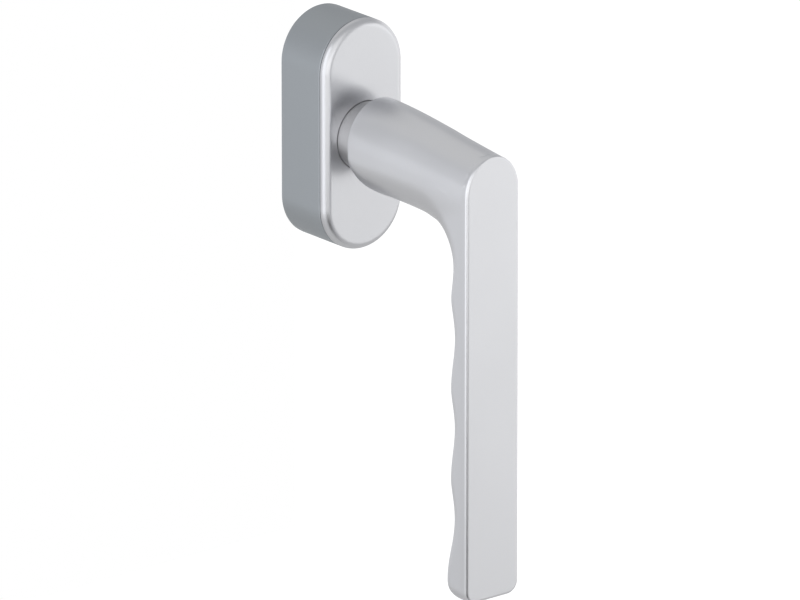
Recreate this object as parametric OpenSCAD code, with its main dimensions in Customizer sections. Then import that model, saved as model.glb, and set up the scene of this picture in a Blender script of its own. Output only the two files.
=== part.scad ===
// Window handle on a deep oblong rosette, for a tilt-and-turn window.
// The origin is where the spindle's axis meets the rosette's back face. +Z is up,
// the window lies at +Y, and the room at -Y. The module at(d, t) counts distances
// forward from that back face.

/* [Rosette] */
// Height of the rosette
rosette_h = 70; // [69:0.5:74]
// Width of the rosette
rosette_w = 29.4; // [29.2:0.2:32]
// Depth of the housing, from the back face to its front rim
housing_d = 17.6; // [17.6:0.2:20]
// Thickness of the housing's wall
wall_t = 2.2; // [1.8:0.1:2.2]
// Thickness of the cover at its rounded edge
cover_t = 2.55; // [2.4:0.05:3]
// Radius of the cover's rounded edge
cover_round = 2.2; // [1.6:0.1:2.2]
// Open line between the cover and the housing
seam_gap = 0.25; // [0.15:0.05:0.4]

/* [Fixings] */
// Distance of the fixing screws from the rosette's ends
screw_inset = 13.5; // [13:0.25:14]
// Diameter of the fixing screws
screw_d = 5; // [4:0.5:5]
// Length of the fixing screws under the head
screw_l = 45; // [35:5:55]
// Diameter of the support lugs
lug_d = 10; // [9:0.5:10]
// Height of the support lugs behind the back face
lug_h = 4; // [2:0.5:6]

/* [Drive] */
// Size of the square spindle
spindle_w = 7; // [6:0.5:7]
// Length of spindle behind the back face
spindle_l = 36; // [28:1:44]
// Diameter of the turning hub
hub_d = 13; // [12.8:0.1:13.2]
// Running clearance around the hub
hub_play = 0.06; // [0.03:0.01:0.1]
// Distance over the flats of the detent cam
cam_w = 16.8; // [16.4:0.1:17]

/* [Neck] */
// Distance of the collar from the rosette's long sides
collar_inset = 4.4; // [4.3:0.1:4.7]
// Distance of the neck's rear face from the cover
neck_gap = 6.1; // [5:0.1:8]
// Diameter of the neck at its rear face
neck_d = 23.4; // [22.6:0.2:24]
// Height of the neck above the axis at its thickest
neck_top = 12.6; // [12:0.2:14]
// Depth of the neck below the axis at its thickest
neck_bottom = 14.4; // [14:0.2:16]

/* [Grip] */
// Distance of the grip's front face from the back face
projection = 78.6; // [74:0.2:84]
// Width of the grip's front face
grip_w = 19.8; // [18.6:0.2:21]
// Distance from the axis down to the grip's end
grip_drop = 127.1; // [120:0.2:132]
// Height of the front face's round top above the axis
arch_top = 7.9; // [6.5:0.1:8.4]
// Thickness of the grip between the finger grooves
grip_t = 9.5; // [9:0.1:10.5]
// Depth of the finger grooves
groove_depth = 1.7; // [0.8:0.05:1.8]
// Distance from one finger groove to the next
groove_pitch = 27.6; // [26:0.2:28]
// Depth of the first ridge between grooves below the axis
first_ridge = 35.3; // [34:0.1:36]
// Radius of the front face's edge
edge_r = 0.95; // [0.6:0.05:1.1]
// Radius of the edges along the grip's back
back_r = 4; // [3:0.25:4.5]

/* [Hidden] */
$fn = 96;
fit = 0.05;
shell_play = 0.2;
over = 1;
screw_z = rosette_h / 2 - screw_inset;
collar_r = rosette_w / 2 - collar_inset;
inner_w = rosette_w - 2 * wall_t;
inner_h = rosette_h - 2 * wall_t;

// The stack along the axis, as distances forward from the back face
recess_d = 2.4;
floor_d = 4.4;
plate_t = 1.5;
plate_front = floor_d + fit + plate_t;
flange_t = 1;
washer_t = 0.6;
cam_back = plate_front + flange_t + washer_t + 2 * fit;
cam_t = 4.5;
cam_gap = 1;
collar_back = cam_back + cam_t + cam_gap;
cap_back = housing_d + seam_gap;
cap_front = cap_back + cover_t;
cap_skin = 1.2;
neck_back = cap_front + neck_gap;
hub_reach = 12;
hub_front = neck_back + hub_reach;
guide_t = 2;
guide_sunk = 1.2;
guide_front = cap_back - guide_sunk;
guide_back = guide_front - guide_t;
spindle_reach = 3;
spindle_front = neck_back + spindle_reach;
pin_at = cam_back + cam_t / 2;

// The grip's own measures
half_w = grip_w / 2;
face_d = projection - edge_r;
arch_z = arch_top - half_w;
end_r = 3.8;
end_round = 5.5;
end_flare = 1.5;
bend_z = -28;
bend_reach = 15;
bend_d = projection - grip_t - bend_reach;

// A 2-D outline in X and Z, from d to d + t in front of the back face
module at(d, t) {
    translate([0, -d, 0]) rotate([90, 0, 0]) linear_extrude(t) children();
}

module oblong(w, h) {
    square([w, h - w], center = true);
    for (side = [-1, 1]) translate([0, side * (h - w) / 2]) circle(d = w);
}

module ring(outer, inner) {
    difference() {
        circle(r = outer);
        circle(r = inner);
    }
}

/* Rosette */

plate_screw_inset = 4;
plate_screw_z = inner_h / 2 - plate_screw_inset;
plate_screw_r = 1.5;
plate_screw_back = 1.2;
recess_r = 11.2;
bush_wall = 1.7;
bush_r = hub_d / 2 + bush_wall;
screw_play = 0.2;
shank_step = 0.3;
lug_step = 0.4;
lug_foot_r = lug_d / 2 + lug_step;

module housing() {
    color("lightsteelblue") difference() {
        at(0, housing_d) oblong(rosette_w, rosette_h);
        at(floor_d, housing_d) oblong(inner_w, inner_h);
        at(-over, floor_d + 2 * over) circle(r = bush_r);
        at(-over, recess_d + over) circle(r = recess_r);
        for (side = [-1, 1]) {
            at(-over, floor_d + 2 * over) translate([0, side * screw_z])
                circle(r = lug_foot_r);
            at(plate_screw_back - screw_play, floor_d)
                translate([0, side * plate_screw_z]) circle(r = plate_screw_r);
        }
    }
}

module base_plate() {
    color("silver") at(floor_d + fit, plate_t) difference() {
        oblong(inner_w - 2 * shell_play, inner_h - 2 * shell_play);
        circle(r = bush_r);
        for (side = [-1, 1]) {
            translate([0, side * screw_z]) circle(d = screw_d + 2 * screw_play);
            translate([0, side * plate_screw_z]) circle(r = plate_screw_r);
            for (across = [-1, 1])
                translate([across * post_x, side * post_z]) circle(r = post_r);
        }
    }
}

module support_lug(side) {
    color("gainsboro") translate([0, 0, side * screw_z]) {
        at(0, floor_d) ring(lug_foot_r, screw_d / 2 + screw_play);
        at(-lug_h, lug_h) ring(lug_d / 2, screw_d / 2 + screw_play);
    }
}

// Two crossed slots of width w and depth d, turned to the diagonals
module cross_recess(w, d) {
    for (turn = [45, 135]) rotate([0, turn, 0]) cube([w, 2 * d, w / 4], center = true);
}

head_t = 2.6;
head_r = screw_d * 0.9;
cross_d = 1.5;

module fixing_screw(side) {
    color("lightgray") translate([0, 0, side * screw_z]) difference() {
        union() {
            at(plate_front, head_t) circle(r = head_r);
            at(-lug_h, plate_front + lug_h) circle(r = screw_d / 2 - shank_step);
            at(plate_front - screw_l, screw_l - plate_front - lug_h) circle(d = screw_d);
        }
        translate([0, -plate_front - head_t, 0]) cross_recess(screw_d, cross_d);
    }
}

plate_head_t = 1.7;
plate_head_r = 2.6;
plate_cross_w = 2.8;
plate_cross_d = 0.9;

module plate_screw(side) {
    color("lightgray") translate([0, 0, side * plate_screw_z]) difference() {
        union() {
            at(plate_front, plate_head_t) circle(r = plate_head_r);
            at(plate_screw_back, plate_front - plate_screw_back) circle(r = plate_screw_r);
        }
        translate([0, -plate_front - plate_head_t, 0])
            cross_recess(plate_cross_w, plate_cross_d);
    }
}

flange_out = 2;

module bearing_bush() {
    color("ivory") {
        at(recess_d, plate_front - recess_d) ring(bush_r, hub_d / 2 + hub_play);
        at(plate_front, flange_t) ring(bush_r + flange_out, hub_d / 2 + hub_play);
    }
}

/* Detent */

spring_t = 0.6;
spring_z = cam_w / 2 + fit;
spring_side = 0.4;
spring_end = 0.7;
post_r = 1.1;
post_inset = 2.6;
post_x = inner_w / 2 - post_inset;
post_z = spring_z + spring_t + post_r + fit;
cam_corner = 2.4;

module spring_posts() {
    color("silver") for (across = [-1, 1], side = [-1, 1])
        at(floor_d + fit, cam_back + cam_t - floor_d)
            translate([across * post_x, side * post_z]) circle(r = post_r);
}

module detent_spring(side) {
    color("slategray") at(cam_back + spring_side, cam_t - 2 * spring_side)
        translate([0, side * (spring_z + spring_t / 2)])
            square([inner_w - 2 * spring_end, spring_t], center = true);
}

module detent_cam() {
    color("dimgray") difference() {
        at(cam_back, cam_t) intersection() {
            square(cam_w, center = true);
            circle(r = cam_w / 2 + cam_corner);
        }
        at(cam_back - over, cam_t + 2 * over) circle(d = hub_d);
        pin_bore();
    }
}

/* Cover */

tube_play = 0.25;
tube_wall = 0.6;
tube_in = collar_r + tube_play;
tube_out = tube_in + tube_wall;
guide_bore = tube_out + fit;
lip_w = 0.45;
lip_t = 0.4;
rim_w = 0.4;

module cap_profile() {
    difference() {
        union() {
            square([rosette_w / 2, cover_t - cover_round]);
            square([rosette_w / 2 - cover_round, cover_t]);
            translate([rosette_w / 2 - cover_round, cover_t - cover_round])
                circle(r = cover_round);
        }
        translate([-over, -over])
            square([rosette_w / 2 - rim_w, cover_t - cap_skin + over]);
        translate([0, -cover_round]) square([rosette_w, cover_round]);
    }
}

module cap_shell() {
    for (side = [-1, 1]) translate([0, -cap_back, side * (rosette_h - rosette_w) / 2])
        rotate([90, 0, 0]) rotate_extrude() cap_profile();
    for (turn = [0, 180]) rotate([0, turn, 0])
        translate([0, -cap_back, -(rosette_h - rosette_w) / 2])
            linear_extrude(rosette_h - rosette_w) mirror([0, 1]) cap_profile();
}

module cap_tube() {
    back = guide_back - fit - lip_t;
    at(back, cap_front - cap_skin - back) circle(r = tube_out);
    at(back, lip_t) circle(r = tube_out + lip_w);
    at(guide_front + fit, cap_front - cap_skin - guide_front - fit)
        circle(r = tube_out + lip_w);
}

module cover_cap() {
    color("gainsboro") difference() {
        union() {
            cap_shell();
            cap_tube();
        }
        at(0, cap_front + over) circle(r = tube_in);
    }
}

guide_w = inner_w - 2 * shell_play;
guide_h = 30;
leg_w = 1.2;
leg_h = 3.4;
leg_lift = 2;
leg_back = plate_front + leg_lift;

module cover_guide() {
    color("whitesmoke") difference() {
        union() {
            at(guide_back, guide_t) square([guide_w, guide_h], center = true);
            for (across = [-1, 1], side = [-1, 1])
                at(leg_back, guide_back - leg_back)
                    translate([across * (guide_w - leg_w) / 2, side * (guide_h - leg_h) / 2])
                        square([leg_w, leg_h], center = true);
        }
        at(guide_back - over, guide_t + 2 * over) circle(r = guide_bore);
    }
}

/* Handle */

pin_r = 1.25;
pin_short = 0.4;

// A round bar of length l across the axis, where the pin holds the drive together
module pin_bar(l) {
    translate([0, -pin_at, 0]) rotate([0, 90, 0]) cylinder(r = pin_r, h = l, center = true);
}

module pin_bore() {
    pin_bar(2 * cam_w);
}

module spindle_pin() {
    color("gray") pin_bar(cam_w - pin_short);
}

spindle_r = spindle_w * 0.68;
spindle_tip_r = spindle_w * 0.54;
spindle_tip = 1;

module spindle() {
    color("silver") difference() {
        intersection() {
            at(-spindle_l, spindle_l + spindle_front) square(spindle_w, center = true);
            union() {
                at(spindle_tip - spindle_l, spindle_l + spindle_front) circle(r = spindle_r);
                translate([0, spindle_l, 0]) rotate([90, 0, 0])
                    cylinder(r1 = spindle_tip_r, r2 = spindle_r, h = spindle_tip + 0.001);
            }
        }
        pin_bore();
    }
}

hub_back = 0.4;
clip_back = 1;
clip_t = 0.8;
clip_in = hub_d / 2 - 0.6;
clip_rim = 2.6;
clip_gap = 2.4;
slot_t = clip_t + 2 * fit;
thrust_t = 0.45;
thrust_play = 0.5;
wave_rim = 1;

module drive_hub() {
    color("darkgray") difference() {
        at(hub_back, hub_front - hub_back) circle(d = hub_d);
        at(-over, spindle_front + over) square(spindle_w, center = true);
        at(clip_back, slot_t) ring(hub_d, clip_in);
        pin_bore();
    }
}

module retaining_ring() {
    color("dimgray") at(clip_back + fit, clip_t) difference() {
        ring(hub_d / 2 + clip_rim, clip_in);
        translate([0, -hub_d]) square([clip_gap, 2 * hub_d], center = true);
    }
}

module thrust_washer() {
    color("silver") at(clip_back + slot_t, thrust_t) ring(recess_r - thrust_play, hub_d / 2);
}

module wave_washer() {
    color("silver") at(cam_back - fit - washer_t, washer_t)
        ring(bush_r + wave_rim, hub_d / 2);
}

module collar() {
    color("gainsboro") at(collar_back, neck_back - collar_back)
        ring(collar_r, hub_d / 2);
}

// A smooth value at x through rows of [x, a, b, ...], for column c
function row_at(x, rows, i = 0) =
    i >= len(rows) - 2 || x < rows[i + 1][0] ? i : row_at(x, rows, i + 1);
function slope(rows, i, c) =
    let (lo = max(i - 1, 0), hi = min(i + 1, len(rows) - 1))
    (rows[hi][c] - rows[lo][c]) / (rows[hi][0] - rows[lo][0]);
function smooth(x, rows, c) =
    let (
        i = row_at(x, rows), span = rows[i + 1][0] - rows[i][0],
        t = (x - rows[i][0]) / span,
        p = rows[i][c], q = rows[i + 1][c],
        m = slope(rows, i, c) * span, n = slope(rows, i + 1, c) * span
    )
    (2 * p - 2 * q + m + n) * pow(t, 3) + (3 * q - 3 * p - 2 * m - n) * t * t + m * t + p;

// A closed outline in X and height: half width w, from lo to hi, with elliptical
// corners of width and height a at the low side and b at the high side
corner_steps = 8;
function corner(x, z, r, from) = [
    for (k = [0 : corner_steps]) let (turn = from + k * 90 / corner_steps)
        [x + r[0] * cos(turn), z + r[1] * sin(turn)]
];
function outline(w, lo, hi, a, b) = concat(
    corner(w - b[0], hi - b[1], b, 0), corner(b[0] - w, hi - b[1], b, 90),
    corner(a[0] - w, lo + a[1], a, 180), corner(w - a[0], lo + a[1], a, 270)
);

// One section of a loft. Its plane holds X and the direction at angle turn, which
// is up at 0 and forward at 90, and passes through the point at distance d, height z.
function section(d, z, turn, points) = [
    for (p = points) [p[0], -d - p[1] * sin(turn), z + p[1] * cos(turn)]
];

// A closed solid through sections that all have the same number of points
module loft(sections) {
    n = len(sections[0]);
    last = (len(sections) - 1) * n;
    polyhedron(
        points = [for (s = sections) each s],
        faces = concat(
            [[for (k = [0 : n - 1]) k]],
            [for (i = [0 : len(sections) - 2], k = [0 : n - 1]) let (a = i * n, b = (k + 1) % n)
                each [[a + k, a + n + k, a + n + b], [a + k, a + n + b, a + b]]],
            [[for (k = [n - 1 : -1 : 0]) last + k]]
        )
    );
}

// The lofts end a little inside the front slab, and their front corners are small
slab_lap = 0.3;
slab_inset = 0.05;
front_r = 0.5;
front_d = face_d - slab_lap;
loft_w = half_w - slab_inset;

// The neck's half width, top, bottom and widest height at distances from the back face
neck_r = neck_d / 2;
neck_rows = [
    [neck_back, neck_r, neck_r + 0.5, neck_r, 0.3],
    [neck_back + 2.5, neck_r + 0.1, neck_r + 0.6, neck_r + 1.6, 0.2],
    [neck_back + 7, neck_r, neck_top, neck_bottom - 0.1, 0],
    [neck_back + 14, neck_r - 0.2, neck_top - 0.3, neck_bottom, -0.4],
    [bend_d, half_w + 0.7, neck_top - 1.5, neck_bottom - 0.2, -1.2],
    [front_d, loft_w, arch_top - slab_inset, neck_bottom - 0.4, arch_z]
];

// Share of the neck's height below the axis that its lower corners take up
low_share = 0.8;
function neck_outline(d) =
    let (w = smooth(d, neck_rows, 1), top = smooth(d, neck_rows, 2),
        low = smooth(d, neck_rows, 3), mid = smooth(d, neck_rows, 4))
    outline(w, -low, top, [w, low_share * low], [w, top - mid]);

// How much the grip's back is hollowed at height z: three finger grooves between
// ridges, a shallow one above the first ridge, and a flare that starts at the bottom
// of the last one. Each groove is deepest a little above its middle.
groove_skew = 0.8;
flare_at = 2.42;
flare = groove_depth + end_flare;
flare_span = (grip_drop - end_round - first_ridge) / groove_pitch - flare_at;
upper_share = 0.5;
upper_span = 0.3;
function groove(z) =
    let (u = (-z - first_ridge) / groove_pitch, v = u - floor(u))
    u < 0
    ? groove_depth * upper_share * pow(sin(90 * min(1, -u / upper_span)), 2)
    : u < flare_at
    ? groove_depth * pow(sin(180 * pow(v, groove_skew)), 2)
    : groove_depth - flare * pow(sin(90 * min(1, (u - flare_at) / flare_span)), 2);

// How far a rounding of radius r at the grip's end has closed in at height z
function closing(z, r) =
    let (past = r - z - grip_drop)
    past <= 0 ? 0 : r - sqrt(max(0, r * r - past * past));

function grip_section(z) =
    let (
        w = loft_w - closing(z, end_r),
        t = grip_t - groove(z) - closing(z, end_round) - projection + front_d,
        r = min(back_r, w - front_r, t - front_r)
    )
    section(front_d, z, 90, outline(w, -t, 0, [r, r], [front_r, front_r]));

bend_r = projection - grip_t + groove(bend_z) - bend_d;
bend_lap = 0.3;
bend_top = -bend_z - neck_bottom + bend_lap;

// A section through the bend between the neck and the grip, around its hollow side
function bend_section(turn) =
    let (
        part = turn / 90,
        low = bend_top * bend_r
            / sqrt(pow(bend_r * cos(turn), 2) + pow(bend_top * sin(turn), 2)),
        high = min((front_d - bend_d) / max(sin(turn), 0.01),
            (arch_z - bend_z) / max(cos(turn), 0.01)),
        a = [loft_w * (1 - part) + back_r * part,
            min(neck_bottom * low_share * (1 - part) + back_r * part, high - low - front_r)]
    )
    section(bend_d, bend_z, turn, outline(loft_w, low, high, a, [front_r, front_r]));

// The front face's outline, drawn in by inset at its sides and less at its round top
top_share = 0.25;
module face_outline(inset) {
    top = arch_top - arch_z - inset * top_share;
    translate([0, arch_z]) scale([1, top / (half_w - inset)]) circle(r = half_w - inset);
    for (side = [-1, 1]) translate([side * (half_w - end_r), end_r - grip_drop])
        circle(r = end_r - inset);
}

neck_steps = 16;
bend_steps = 12;
grip_steps = 48;
end_steps = 8;
end_turn = 84;
edge_steps = 8;
straight_end = grip_drop - end_round;
slab_t = 2;
slice_t = 0.02;
press = 0.02;

// One step of the front slab's rounded edge, which starts with the slab itself
module edge_slice(k) {
    turn = 90 * k / edge_steps;
    t = k == 0 ? slab_t : slice_t;
    at(face_d + edge_r * sin(turn) - t, t) face_outline(edge_r * (1 - cos(turn)));
}

module grip() {
    color("silver") difference() {
        union() {
            loft([for (i = [0 : neck_steps])
                let (d = neck_back + (front_d - neck_back) * i / neck_steps)
                section(d, 0, 0, neck_outline(d))]);
            loft(concat(
                [for (i = [0 : bend_steps - 1]) bend_section(90 * i / bend_steps)],
                [for (i = [0 : grip_steps - 1])
                    grip_section(bend_z - (straight_end + bend_z) * i / grip_steps)],
                [for (i = [0 : end_steps])
                    grip_section(-straight_end - end_round * sin(end_turn * i / end_steps))]
            ));
            for (i = [0 : edge_steps - 1]) hull() {
                edge_slice(i);
                edge_slice(i + 1);
            }
        }
        at(neck_back - over, hub_front - neck_back + over) circle(r = hub_d / 2 + press);
    }
}

housing();
base_plate();
support_lug(1);  // support_lug_upper
support_lug(-1);  // support_lug_lower
fixing_screw(1);  // fixing_screw_upper
fixing_screw(-1);  // fixing_screw_lower
plate_screw(1);  // plate_screw_upper
plate_screw(-1);  // plate_screw_lower
bearing_bush();
spring_posts();
detent_spring(1);  // detent_spring_upper
detent_spring(-1);  // detent_spring_lower
cover_guide();
cover_cap();
grip();
collar();
drive_hub();
spindle();
spindle_pin();
detent_cam();
wave_washer();
thrust_washer();
retaining_ring();
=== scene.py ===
import math

import bmesh
import bpy
from bpy.props import FloatProperty, FloatVectorProperty, PointerProperty
from bpy.types import Operator, Panel, PropertyGroup
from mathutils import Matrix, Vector


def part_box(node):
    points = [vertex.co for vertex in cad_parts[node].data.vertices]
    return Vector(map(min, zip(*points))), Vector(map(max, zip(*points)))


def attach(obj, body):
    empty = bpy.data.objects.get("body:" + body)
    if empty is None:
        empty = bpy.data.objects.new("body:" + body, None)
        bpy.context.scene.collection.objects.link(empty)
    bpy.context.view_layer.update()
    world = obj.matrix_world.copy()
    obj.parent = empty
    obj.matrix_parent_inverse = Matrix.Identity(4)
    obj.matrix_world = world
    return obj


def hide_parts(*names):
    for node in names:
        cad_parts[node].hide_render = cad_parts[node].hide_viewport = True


bl_info = {
    "name": "Window handle on an oblong rosette",
    "version": (1, 0, 0),
    "blender": (4, 5, 0),
    "location": "3D View > Sidebar > Window Handle",
    "description": "Models the visible pieces of a window handle and gives them their finishes",
    "category": "Add Mesh",
}

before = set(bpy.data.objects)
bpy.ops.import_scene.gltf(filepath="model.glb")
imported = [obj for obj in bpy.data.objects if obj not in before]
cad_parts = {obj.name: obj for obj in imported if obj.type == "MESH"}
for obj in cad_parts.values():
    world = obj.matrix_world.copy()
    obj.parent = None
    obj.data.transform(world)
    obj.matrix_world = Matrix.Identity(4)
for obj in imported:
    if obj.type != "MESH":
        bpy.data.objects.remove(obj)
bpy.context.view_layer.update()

# ---- measures from the frame

# A distance d is counted forward from the rosette's back face, so d = -y.
MM = 0.001
GRIP_LOW, GRIP_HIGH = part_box("grip")
HOUSING_LOW, HOUSING_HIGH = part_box("housing")
CAP_LOW, CAP_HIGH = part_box("cover_cap")
GUIDE_LOW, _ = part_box("cover_guide")
COLLAR_LOW, COLLAR_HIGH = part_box("collar")
LUG_LOW, LUG_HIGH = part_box("support_lug_upper")
SCREW_LOW, SCREW_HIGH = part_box("fixing_screw_upper")
PLATE_LOW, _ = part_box("base_plate")
RING_LOW, RING_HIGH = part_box("retaining_ring")
THRUST_LOW, THRUST_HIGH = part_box("thrust_washer")
SPINDLE_LOW, SPINDLE_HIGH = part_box("spindle")
HUB_LOW, HUB_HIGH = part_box("drive_hub")

PROJECTION = -GRIP_LOW.y
GRIP_DROP = -GRIP_LOW.z
NECK_BACK = -GRIP_HIGH.y
ROSETTE_W = HOUSING_HIGH.x - HOUSING_LOW.x
ROSETTE_H = HOUSING_HIGH.z - HOUSING_LOW.z
HOUSING_D = -HOUSING_LOW.y
CAP_BACK = -CAP_HIGH.y
CAP_FRONT = -CAP_LOW.y
COLLAR_R = COLLAR_HIGH.x
HUB_R = HUB_HIGH.x
SCREW_Z = (LUG_HIGH.z + LUG_LOW.z) / 2
LUG_R = (LUG_HIGH.x - LUG_LOW.x) / 2

# ---- modelling tools

ROUND = 160  # points in a ring of the rosette's pieces
TURNED_COUNT = 64  # points in a ring of a turned piece
SAME_PLACE = 1e-6  # points nearer than this are one point
SLIVER = 5e-6  # and after a cut, points nearer than this
SMOOTH_ANGLE = math.radians(30)


def select_none():
    """Leaves edit mode and selects nothing."""
    if bpy.context.object and bpy.context.object.mode != "OBJECT":
        bpy.ops.object.mode_set(mode="OBJECT")
    bpy.ops.object.select_all(action="DESELECT")


def select_only(piece):
    """Selects one piece and makes it the active one."""
    select_none()
    piece.select_set(True)
    bpy.context.view_layer.objects.active = piece


def edited(piece):
    """The mesh of a piece in edit mode, with its points numbered."""
    mesh = bmesh.from_edit_mesh(piece.data)
    mesh.verts.ensure_lookup_table()
    return mesh


def loft(name, rings, closed=False):
    """A shell through rings of points. A circle primitive is extruded from ring to ring.

    Its two ends are filled. Where it is closed, the last ring runs back into the first."""
    count = len(rings[0])
    if closed:
        rings = [*rings, rings[0]]
    select_none()
    bpy.ops.mesh.primitive_circle_add(vertices=count, fill_type="NOTHING")
    piece = bpy.context.object
    piece.name = name
    bpy.ops.object.mode_set(mode="EDIT")
    bpy.ops.mesh.select_all(action="SELECT")
    for step, ring in enumerate(rings):
        if step:
            bpy.ops.mesh.extrude_edges_move()
        mesh = edited(piece)
        for k, place in enumerate(ring):
            mesh.verts[step * count + k].co = place
    if not closed:
        mesh = edited(piece)
        mesh.faces.new(mesh.verts[:count])
        mesh.faces.new(mesh.verts[-count:])
    bpy.ops.mesh.select_all(action="SELECT")
    bpy.ops.mesh.remove_doubles(threshold=SAME_PLACE)
    bpy.ops.mesh.normals_make_consistent(inside=False)
    bpy.ops.object.mode_set(mode="OBJECT")
    piece.data.name = name
    return piece


def cube_in_edit_mode(name):
    """A cube of side 1 at the origin, in edit mode with all of it selected."""
    select_none()
    bpy.ops.mesh.primitive_cube_add(size=1)
    cube = bpy.context.object
    cube.name = cube.data.name = name
    bpy.ops.object.mode_set(mode="EDIT")
    return cube


def circle_ring(radius, d, centre_z=0.0, count=ROUND):
    """Points on a circle at distance d, around the height centre_z."""
    turns = [2 * math.pi * (k + 0.5) / count for k in range(count)]
    return [Vector((radius * math.cos(turn), -d, centre_z + radius * math.sin(turn)))
            for turn in turns]


def oblong_ring(inset, d):
    """Points on the rosette's outline at distance d, drawn in by inset."""
    radius = ROSETTE_W / 2 - inset
    rise = (ROSETTE_H - ROSETTE_W) / 2
    half = ROUND // 2
    points = []
    for side in (1, -1):
        for k in range(half):
            turn = math.pi * k / (half - 1)
            x = side * radius * math.cos(turn)
            z = side * (rise + radius * math.sin(turn))
            points.append(Vector((x, -d, z)))
    return points


def quarter_round(radius, steps):
    """Insets and rises around the quarter turn of a rounded edge."""
    turns = [math.pi / 2 * i / steps for i in range(steps + 1)]
    return [(radius * (1 - math.cos(turn)), radius * math.sin(turn)) for turn in turns]


def turned(name, profile, centre_z=0.0, count=TURNED_COUNT, closed=True):
    """A turned piece around an axis at height centre_z, from (radius, d) points."""
    rings = [circle_ring(radius, d, centre_z, count) for radius, d in profile]
    return loft(name, rings, closed)


def cut(piece, *tools, operation="DIFFERENCE"):
    """Cuts the tools out of a piece, or joins them to it, and uses them up."""
    for tool in tools:
        modifier = piece.modifiers.new("cut", "BOOLEAN")
        modifier.operation = operation
        modifier.solver = "EXACT"
        modifier.object = tool
        select_only(piece)
        bpy.ops.object.modifier_apply(modifier=modifier.name)
        bpy.data.objects.remove(tool)
    select_only(piece)
    bpy.ops.object.mode_set(mode="EDIT")
    bpy.ops.mesh.select_all(action="SELECT")
    bpy.ops.mesh.remove_doubles(threshold=SLIVER)
    bpy.ops.object.mode_set(mode="OBJECT")


def finished(piece, body, node, material):
    """Shades a piece, gives it its finish and sets it in the frame in place of its node."""
    select_only(piece)
    bpy.ops.object.shade_smooth_by_angle(angle=SMOOTH_ANGLE)
    piece.data.materials.clear()
    piece.data.materials.append(material)
    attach(piece, body)
    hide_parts(node)


# ---- shape of the grip

END_ROUND = 5.5 * MM  # rounding of the lever's end
END_FLARE = 1.5 * MM  # how far the end stands out behind the ridges
BACK_R = 4 * MM  # rounding of the lever's two back edges
LEAST_R = 0.2 * MM  # the least that it shrinks to where the lever narrows
EDGE_ROOM = 0.5 * MM  # the flat that it leaves there
ARCH_SHARE = 1.1  # rise of the face's arch, in half widths
TOP_SHARE = 0.25  # share of the edge's inset that is taken off the arch's top
GROOVE_SKEW = 0.8  # below 1, a groove is deepest above its middle
FLARE_AT = 2.42  # where the flare starts, in pitches below the first ridge
UPPER_SHARE = 0.5  # depth of the hollow above the first ridge, in groove depths
UPPER_SPAN = 0.3  # length of its slope, in pitches
LOW_SHARE = 0.8  # share of the neck's lower half that is rounded
REAR_ROUND = 0.5 * MM  # rounding of the neck's rear edge
BEND_Z = -28 * MM  # height of the bend's pivot
BEND_R = 15 * MM  # how far the pivot lies behind the lever's back
BEND_LAP = 0.3 * MM  # how far the bend reaches into the neck
BLEND = 2.4 * MM  # softness of the corner between neck and bend
BLEND_RUN = 12 * MM  # how far behind the face it starts to fade
SLAB_T = 2 * MM  # thickness of the front slab behind its edge
SLAB_PROUD = 0.01 * MM  # how far its sides stand proud of the body's
SLAB_LAP = 0.3 * MM  # how far behind its edge the body ends
SLAB_LIP = 0.15 * MM  # flat rim between its edge and its face
BORE_PLAY = 0.02 * MM  # room between the hub and its bore
CORE = 4 * MM  # how deep inside the grip an outline starts
FAR = 45 * MM  # farther than any outline reaches
OVERREACH = 3  # the same, in half sizes of the outline
HALVINGS = 26  # steps in which a point of it is closed in on
TINY = 1e-9

# Rings along the rear edge, the neck, the bend, the lever, its end, and the face's edge.
REAR_STEPS = 6
NECK_STEPS = 18
BEND_STEPS = 40
LEVER_STEPS = 90
END_STEPS = 10
FACE_STEPS = 10

# Points in a ring of the grip, along the face's arch, and along each of its corners.
GRIP_COUNT = 112
ARCH_COUNT = 72
CORNER_COUNT = 16


def through_rows(rows, x, column):
    """A smooth value at x through rows whose first column is the place."""
    i = 0
    while i < len(rows) - 2 and x >= rows[i + 1][0]:
        i += 1

    def slope(j):
        low, high = max(j - 1, 0), min(j + 1, len(rows) - 1)
        return (rows[high][column] - rows[low][column]) / (rows[high][0] - rows[low][0])

    span = rows[i + 1][0] - rows[i][0]
    t = (x - rows[i][0]) / span
    p, q = rows[i][column], rows[i + 1][column]
    m, n = slope(i) * span, slope(i + 1) * span
    return (2 * p - 2 * q + m + n) * t**3 + (3 * q - 3 * p - 2 * m - n) * t * t + m * t + p


def closing(past, radius):
    """How far a rounding of that radius has closed in, past its start."""
    past = min(max(past, 0), radius)
    return radius - math.sqrt(radius * radius - past * past)


def corner_depth(x, w, h, a, b):
    """Depth outside a strip of half width w whose rounded end lies at h = 0."""
    across, along = abs(x) - (w - a), b - h
    if across > 0 and along > 0:
        return (math.hypot(across / a, along / b) - 1) * min(a, b)
    return max(abs(x) - w, -h)


def edge_of(outside, reach):
    """The last place from 0 to reach that is not outside."""
    low, high = 0.0, reach
    for _ in range(HALVINGS):
        middle = (low + high) / 2
        if outside(middle):
            high = middle
        else:
            low = middle
    return low


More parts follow.
